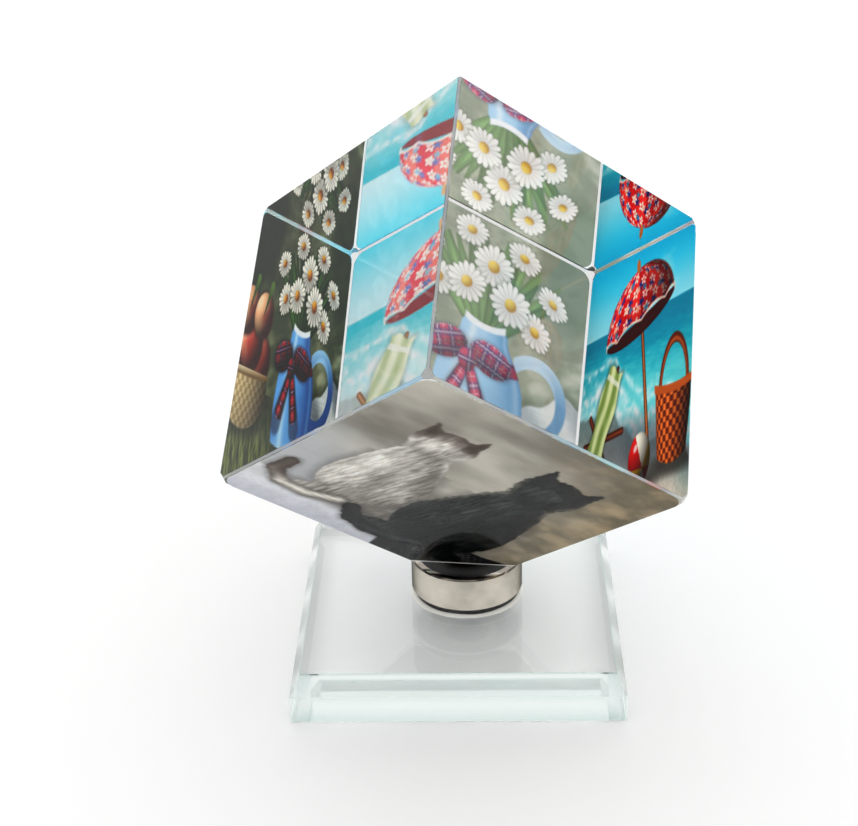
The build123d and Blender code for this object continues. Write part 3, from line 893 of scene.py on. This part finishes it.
def cats(x, y):
    """A cream cat with dark ears and tail and a black cat sit side by side on a pale wall, seen
    from behind against a blurred autumn field. The black one has a dark blanket under it."""
    field = clouds(x * 0.6 + 0.2 * y, y * 0.9, 13, 210) + 0.35 * clouds(x * 0.5, y * 1.6, 5, 215)
    picture = between((0.50, 0.48, 0.44), (0.80, 0.78, 0.73), ramp(field, -0.8, 0.8))
    warm = ramp(x + 0.4 * y + 6 * clouds(x, y, 8, 220), 6, 34)
    ochre = between((0.38, 0.34, 0.25), (0.69, 0.60, 0.45), ramp(clouds(x, y * 1.4, 6, 225), -0.6, 0.7))
    picture = over(picture, ochre, 0.9 * warm)
    cool = ramp(5 * clouds(x, y, 9, 230) - 0.6 * x - y, 2, 24)
    picture = over(picture, (0.76, 0.78, 0.80), 0.8 * cool)
    top = -17.5 + 0.6 * np.sin(x * 0.15) + 0.5 * noise(x, y, 4, 235)
    stone = clouds(x, y * 1.5, 4, 240) * 0.05 + noise(x, y, 0.6, 245) * 0.025
    wall = between((0.80, 0.81, 0.85), (0.95, 0.96, 0.97), ramp(y, -30, -18)) + stone[..., None]
    picture = over(picture, wall, mask(y - top, 0.8))
    picture = over(picture, (0.40, 0.38, 0.38), 0.6 * mask(oval(x, y, (1, -19.5), 26, 2.6)[0], 3))
    knit = np.sin(x * 4.2) * np.sin(y * 3.2 + 1.2 * np.abs(np.sin(x * 2.1))) + clouds(x, y, 5, 250)
    wool = between((0.03, 0.03, 0.035), (0.20, 0.20, 0.20), ramp(knit, -1.0, 1.5))
    blanket = np.maximum(y + 16.8 - 0.5 * np.sin(x * 0.5), 1.5 - x - 0.25 * (y + 17))
    picture = over(picture, wool, mask(blanket, 0.5))
    picture = sitting_cat(
        picture, x, y, (-11.5, -0.5), 1.06, 4,
        ((0.46, 0.44, 0.41), (1.12, 1.10, 1.06), (1.0, 0.99, 0.96), (0.24, 0.19, 0.16)), 260,
        ((-11, -18.3), (-17, -20.7), (-23, -20.1), (-26.5, -16.5), (-26.2, -12.0)),
    )
    return sitting_cat(
        picture, x, y, (10.8, -2.0), 1.20, -5,
        ((0.01, 0.015, 0.015), (0.27, 0.30, 0.29), (0.55, 0.52, 0.47), (0.05, 0.05, 0.05)), 280,
        ((11, -21.4), (6, -23.8), (0, -24.2), (-5, -22.6), (-7.5, -19.0)),
    )


for side, along_way, up_way, away, picture in (
    ("front", left_way, right_way, back_way, lambda along, up: cats(30 - along, up - 30)),
    ("left", left_way, back_way, right_way, lambda along, up: meadow(30 - along, up - 30)),
    ("right", right_way, back_way, left_way, lambda along, up: beach(along - 30, up - 30)),
):
    mesh = film_mesh(f"film_{side}", along_way, up_way, away, picture)
    film = add_piece(f"film_{side}", mesh, print_outside, print_inside)
    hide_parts(f"photo_{side}")
    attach(film, "cube")


# The studio is a plain pale floor under soft white light, stronger from behind, and the camera
# stands where the photograph was taken from: a little right of the front, and above.

floor_half = 3.0
floor_drop = 0.0002
floor_glow = 0.2
glow_through_glass = 0.1
light_ahead = 0.82
light_behind = 1.6
extra_through_glass = 1.4
dim_above = 0.15


def floor_mesh():
    """A square of 6 m, just under the foot of the glass plate."""
    corners = [(x * floor_half, y * floor_half, -floor_drop) for x, y in ((-1, -1), (1, -1), (1, 1), (-1, 1))]
    mesh = bpy.data.meshes.new("floor")
    mesh.from_pydata(corners, [], [(0, 1, 2, 3)])
    return mesh


# The floor glows a little where it is seen straight or mirrored, so that it is as pale as in the
# photograph, and far less through glass, so that the bearing's shadow stays under the plate.

floor_paint, tree, shader = new_material("floor_paint")
path = add(tree, "ShaderNodeLightPath").outputs
mirrored = reckon(tree, "GREATER_THAN", path["Glossy Depth"], 0.5)
unspread = reckon(tree, "LESS_THAN", path["Diffuse Depth"], 0.5)
mirrored = reckon(tree, "MULTIPLY", mirrored, unspread)
seen = reckon(tree, "MAXIMUM", path["Is Camera Ray"], mirrored)
through = reckon(tree, "MULTIPLY", path["Is Transmission Ray"], glow_through_glass)
seen = reckon(tree, "MAXIMUM", seen, through)
feed(tree, shader.inputs, {
    "Base Color": (0.84, 0.84, 0.84, 1),
    "Roughness": 1.0,
    "Specular IOR Level": 0.0,
    "Emission Color": (1, 1, 1, 1),
    "Emission Strength": reckon(tree, "MULTIPLY", seen, floor_glow),
})
floor = add_piece("floor", floor_mesh(), floor_paint)

# What is seen straight, or through glass alone, is white. Gloss mirrors a room that is dim above
# and bright low down and at the back. All other rays find the soft light, and those that come
# through glass find it 2.4 times as strong, which makes up for the floor's weaker glow there.

world = bpy.data.worlds.new("studio")
bpy.context.scene.world = world
world.use_nodes = True
sky = world.node_tree
way = add(sky, "ShaderNodeTexCoord").outputs["Generated"]
way = add(sky, "ShaderNodeSeparateXYZ", {0: way}).outputs
light = spread(sky, way["Y"], 0.0, 0.8, light_ahead, light_behind, interpolation_type="SMOOTHSTEP")
path = add(sky, "ShaderNodeLightPath").outputs
through = reckon(sky, "MULTIPLY_ADD", path["Is Transmission Ray"], extra_through_glass, 1.0)
light = reckon(sky, "MULTIPLY", light, through)
dim_room = spread(sky, way["Z"], 0.02, 0.12, 1.0, dim_above)
back_wall = spread(sky, way["Y"], 0.5, 0.8)
dim_room = reckon(sky, "MAXIMUM", dim_room, back_wall)
unspread = reckon(sky, "LESS_THAN", path["Diffuse Depth"], 0.5)
clear = reckon(sky, "MULTIPLY", path["Is Transmission Ray"], unspread)
straight = reckon(sky, "MAXIMUM", path["Is Camera Ray"], clear)
shine = reckon(sky, "MULTIPLY", path["Is Glossy Ray"], unspread)
mirrored = mix(sky, shine, light, dim_room, "FLOAT")
strength = mix(sky, straight, mirrored, 1.0, "FLOAT")
feed(sky, sky.nodes["Background"].inputs, {"Color": (1, 1, 1, 1), "Strength": strength})

camera_azimuth = radians(1.785)
camera_elevation = radians(26.511)
camera_roll = radians(-1.353)
camera_distance = 0.33716
look_at = Vector((-0.006781, 0, 0.048799))
focal_pixels = 1773.3
photo_width = 858
sensor_width = 36

back = Vector((
    sin(camera_azimuth) * cos(camera_elevation),
    -cos(camera_azimuth) * cos(camera_elevation),
    sin(camera_elevation),
))
level = Vector((0, 0, 1)).cross(back).normalized()
upright = back.cross(level)
across = level * cos(camera_roll) + upright * sin(camera_roll)
above = upright * cos(camera_roll) - level * sin(camera_roll)
camera_data = bpy.data.cameras.new("photo_camera")
camera_data.sensor_fit = "HORIZONTAL"
camera_data.sensor_width = sensor_width
camera_data.lens = focal_pixels * sensor_width / photo_width
camera_data.clip_start = 0.01
camera = bpy.data.objects.new("photo_camera", camera_data)
bpy.context.scene.collection.objects.link(camera)
turn = Matrix((across, above, back)).transposed().to_4x4()
camera.matrix_world = Matrix.Translation(look_at + back * camera_distance) @ turn

scene = bpy.context.scene
scene.camera = camera
scene.view_settings.view_transform = "Standard"
scene.cycles.max_bounces = 24
scene.cycles.glossy_bounces = 12
scene.cycles.transmission_bounces = 16
scene.cycles.transparent_max_bounces = 16
scene.cycles.diffuse_bounces = 6
